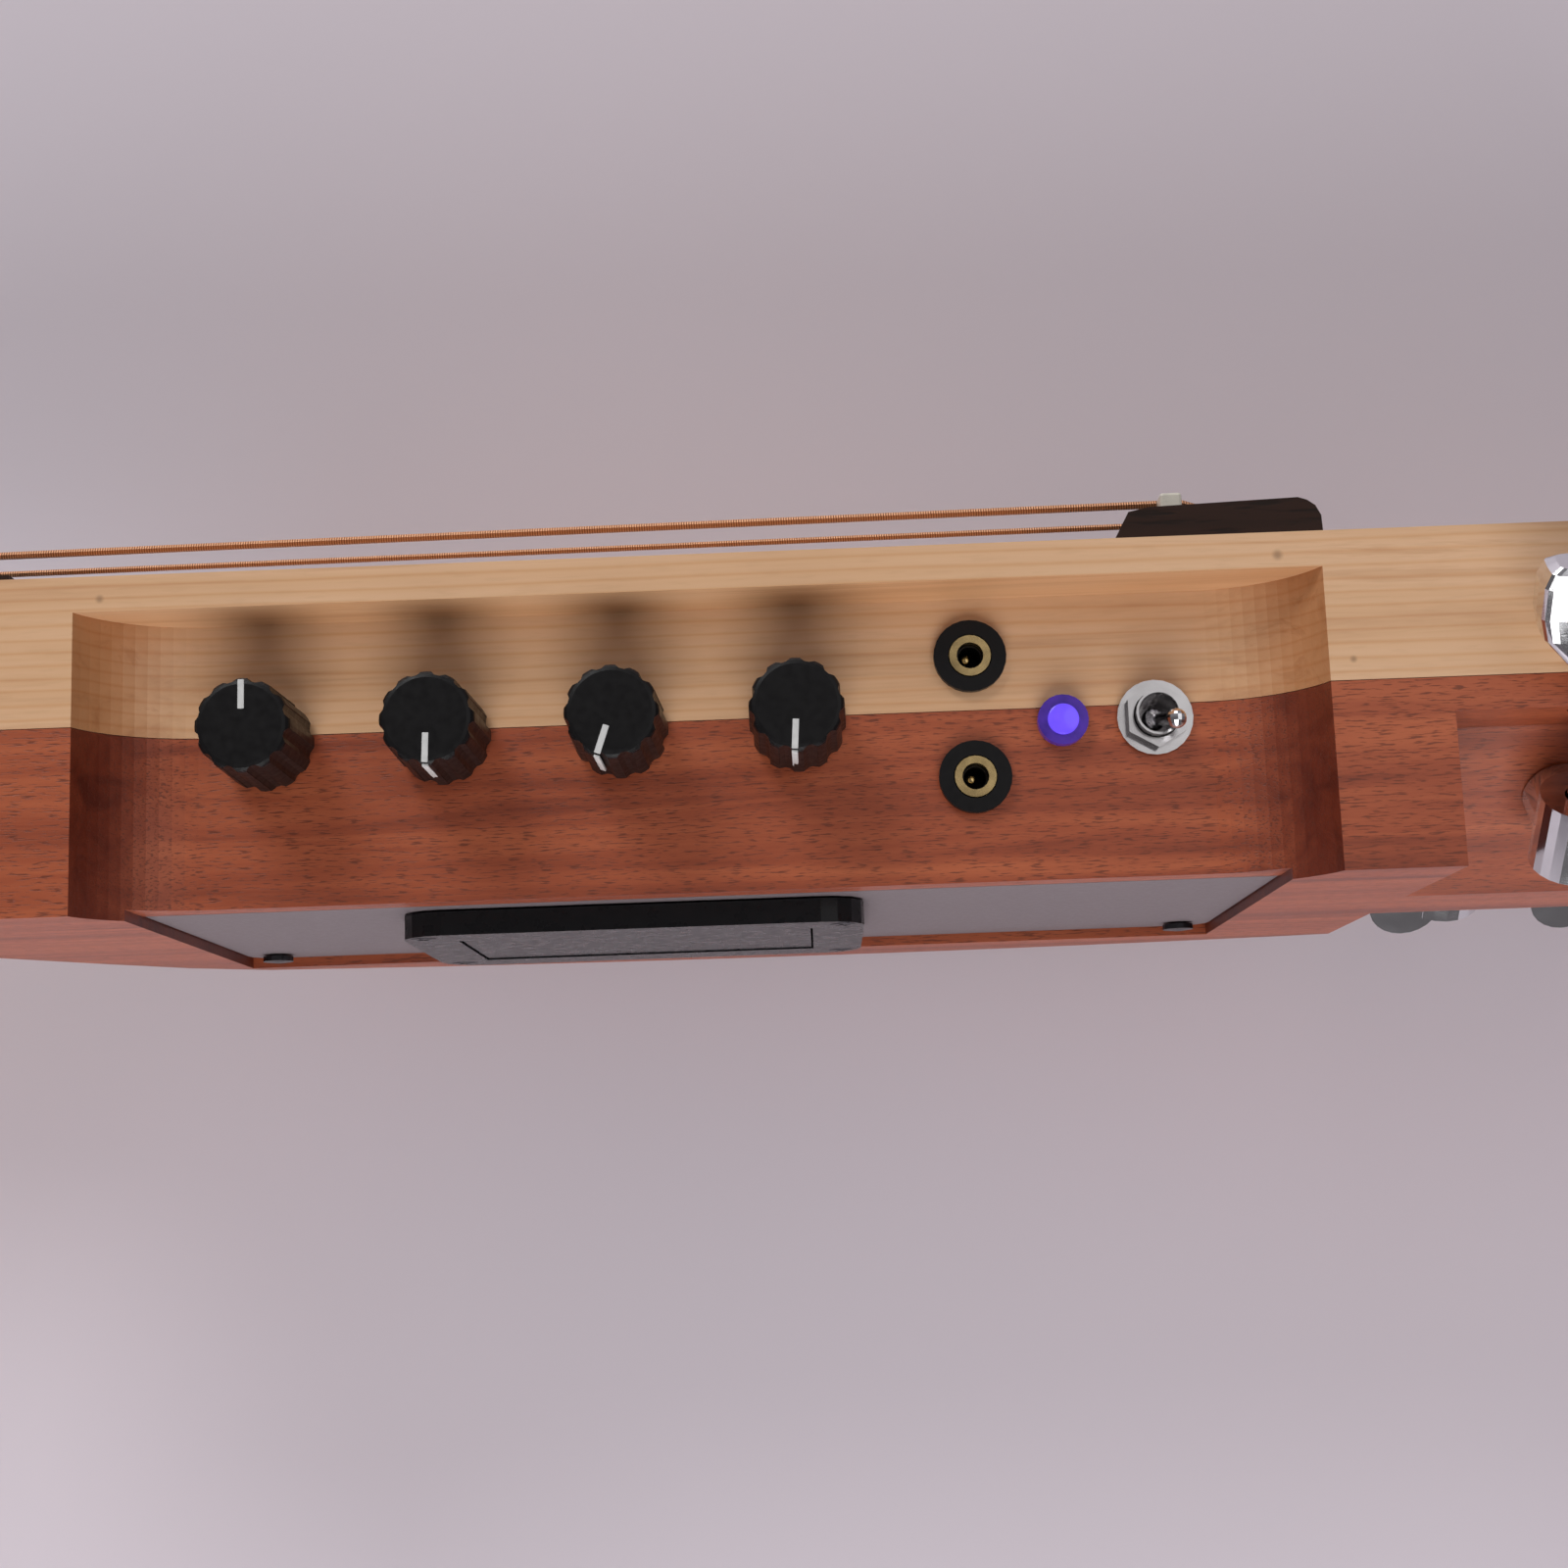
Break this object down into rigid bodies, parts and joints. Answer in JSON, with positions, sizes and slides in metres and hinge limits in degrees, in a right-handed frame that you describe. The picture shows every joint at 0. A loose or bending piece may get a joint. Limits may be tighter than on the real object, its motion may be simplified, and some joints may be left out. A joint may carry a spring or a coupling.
{
  "type": "headless electric guitar",
  "caption": "Headless electric guitar with a long control bay in the bass side, slanted tail tuners, wooden bridge and a battery box in the back plate.",
  "frame": {"origin": "under the middle of the whole instrument, on the plane that its back rests on", "axes": "+X from the neck to the tail, +Y from the bass side to the treble side, +Z from the back to the strings"},
  "size_m": [0.8102, 0.1204, 0.0581],
  "materials": {
    "maple": "satin lacquer",
    "mahogany": "satin lacquer",
    "rosewood": "oiled",
    "bone": "polished",
    "black_plastic": "satin",
    "battery_skin": "printed sleeve",
    "grey_plate": "matt",
    "circuit_board": "solder mask",
    "lens": "clear tinted",
    "bronze": "wound wire",
    "brass": "polished",
    "chrome": "polished",
    "steel": "plain"
  },
  "bodies": {
    "guitar": {"back_plate": "grey_plate", "battery": "battery_skin", "battery_box": "black_plastic", "body_block": "mahogany", "bridge": "rosewood", "fretboard": "rosewood", "head_anchor": "chrome", "jack_1": "brass", "jack_2": "brass", "jack_washer_1": "black_plastic", "jack_washer_2": "black_plastic", "neck_through": "maple", "nut": "bone", "piezo_strip": "steel", "plate_screw_1": "steel", "plate_screw_2": "steel", "pot_1": "steel", "pot_2": "steel", "pot_3": "steel", "pot_4": "steel", "power_led": "lens", "preamp_board": "circuit_board", "saddle": "bone", "strap_button_horn": "chrome", "strap_button_tail": "chrome", "string_1": "steel", "string_2": "steel", "string_3": "bronze", "string_4": "bronze", "string_5": "bronze", "string_6": "bronze", "toggle_nut": "chrome", "toggle_switch": "steel", "truss_rod": "steel", "tuner_case_1": "chrome", "tuner_case_2": "chrome", "tuner_case_3": "chrome", "tuner_case_4": "chrome", "tuner_case_5": "chrome", "tuner_case_6": "chrome"},
    "volume_and_tone_1": {"knob_1": "black_plastic"},
    "volume_and_tone_2": {"knob_2": "black_plastic"},
    "volume_and_tone_3": {"knob_3": "black_plastic"},
    "volume_and_tone_4": {"knob_4": "black_plastic"},
    "switch_lever": {"toggle_lever": "chrome"},
    "door": {"battery_door": "black_plastic"},
    "tuner_turn_1": {"tuner_button_1": "chrome"},
    "tuner_spool_1": {"tuner_post_1": "chrome"},
    "tuner_turn_2": {"tuner_button_2": "chrome"},
    "tuner_spool_2": {"tuner_post_2": "chrome"},
    "tuner_turn_3": {"tuner_button_3": "chrome"},
    "tuner_spool_3": {"tuner_post_3": "chrome"},
    "tuner_turn_4": {"tuner_button_4": "chrome"},
    "tuner_spool_4": {"tuner_post_4": "chrome"},
    "tuner_turn_5": {"tuner_button_5": "chrome"},
    "tuner_spool_5": {"tuner_post_5": "chrome"},
    "tuner_turn_6": {"tuner_button_6": "chrome"},
    "tuner_spool_6": {"tuner_post_6": "chrome"}
  },
  "joints": [
    {"name": "knob_turn_1", "type": "hinge", "parent": "guitar", "child": "volume_and_tone_1", "pos_m": [0.15225, -0.033, 0.0256], "axis": [0, 1, 0], "range_deg": [-150, 150]},
    {"name": "knob_turn_2", "type": "hinge", "parent": "guitar", "child": "volume_and_tone_2", "pos_m": [0.17605, -0.033, 0.0256], "axis": [0, 1, 0], "range_deg": [0, 300]},
    {"name": "knob_turn_3", "type": "hinge", "parent": "guitar", "child": "volume_and_tone_3", "pos_m": [0.19985, -0.033, 0.0256], "axis": [0, 1, 0], "range_deg": [0, 300]},
    {"name": "knob_turn_4", "type": "hinge", "parent": "guitar", "child": "volume_and_tone_4", "pos_m": [0.22365, -0.033, 0.0256], "axis": [0, 1, 0], "range_deg": [0, 300]},
    {"name": "switch_throw", "type": "hinge", "parent": "guitar", "child": "switch_lever", "pos_m": [0.27155, -0.032, 0.0249], "axis": [-0.617, 0, -0.787], "range_deg": [0, 32]},
    {"name": "battery_door_swing", "type": "hinge", "parent": "guitar", "child": "door", "pos_m": [0.22435, -0.002, 0.0002], "axis": [0, -1, 0], "range_deg": [0, 100]},
    {"name": "tuner_button_turn_1", "type": "hinge", "parent": "guitar", "child": "tuner_turn_1", "pos_m": [0.32775, -0.02921, 0.00839], "axis": [0, -0.7071, 0.7071], "continuous": true},
    {"name": "tuner_post_turn_1", "type": "hinge", "parent": "guitar", "child": "tuner_spool_1", "pos_m": [0.33435, -0.0232, 0.0144], "axis": [0, -0.7071, -0.7071], "continuous": true},
    {"name": "tuner_button_turn_2", "type": "hinge", "parent": "guitar", "child": "tuner_turn_2", "pos_m": [0.35305, -0.02921, 0.00839], "axis": [0, -0.7071, 0.7071], "continuous": true},
    {"name": "tuner_post_turn_2", "type": "hinge", "parent": "guitar", "child": "tuner_spool_2", "pos_m": [0.35965, -0.0232, 0.0144], "axis": [0, -0.7071, -0.7071], "continuous": true},
    {"name": "tuner_button_turn_3", "type": "hinge", "parent": "guitar", "child": "tuner_turn_3", "pos_m": [0.37835, -0.02921, 0.00839], "axis": [0, -0.7071, 0.7071], "continuous": true},
    {"name": "tuner_post_turn_3", "type": "hinge", "parent": "guitar", "child": "tuner_spool_3", "pos_m": [0.38495, -0.0232, 0.0144], "axis": [0, -0.7071, -0.7071], "continuous": true},
    {"name": "tuner_button_turn_4", "type": "hinge", "parent": "guitar", "child": "tuner_turn_4", "pos_m": [0.31775, 0.02921, 0.00839], "axis": [0, 0.7071, 0.7071], "continuous": true},
    {"name": "tuner_post_turn_4", "type": "hinge", "parent": "guitar", "child": "tuner_spool_4", "pos_m": [0.32435, 0.0232, 0.0144], "axis": [0, 0.7071, -0.7071], "continuous": true},
    {"name": "tuner_button_turn_5", "type": "hinge", "parent": "guitar", "child": "tuner_turn_5", "pos_m": [0.34305, 0.02921, 0.00839], "axis": [0, 0.7071, 0.7071], "continuous": true},
    {"name": "tuner_post_turn_5", "type": "hinge", "parent": "guitar", "child": "tuner_spool_5", "pos_m": [0.34965, 0.0232, 0.0144], "axis": [0, 0.7071, -0.7071], "continuous": true},
    {"name": "tuner_button_turn_6", "type": "hinge", "parent": "guitar", "child": "tuner_turn_6", "pos_m": [0.36835, 0.02921, 0.00839], "axis": [0, 0.7071, 0.7071], "continuous": true},
    {"name": "tuner_post_turn_6", "type": "hinge", "parent": "guitar", "child": "tuner_spool_6", "pos_m": [0.37495, 0.0232, 0.0144], "axis": [0, 0.7071, -0.7071], "continuous": true}
  ],
  "couplings": [
    {"joint": "tuner_post_turn_1", "follows": "tuner_button_turn_1", "ratio": 0.06667},
    {"joint": "tuner_post_turn_2", "follows": "tuner_button_turn_2", "ratio": 0.06667},
    {"joint": "tuner_post_turn_3", "follows": "tuner_button_turn_3", "ratio": 0.06667},
    {"joint": "tuner_post_turn_4", "follows": "tuner_button_turn_4", "ratio": 0.06667},
    {"joint": "tuner_post_turn_5", "follows": "tuner_button_turn_5", "ratio": 0.06667},
    {"joint": "tuner_post_turn_6", "follows": "tuner_button_turn_6", "ratio": 0.06667}
  ]
}
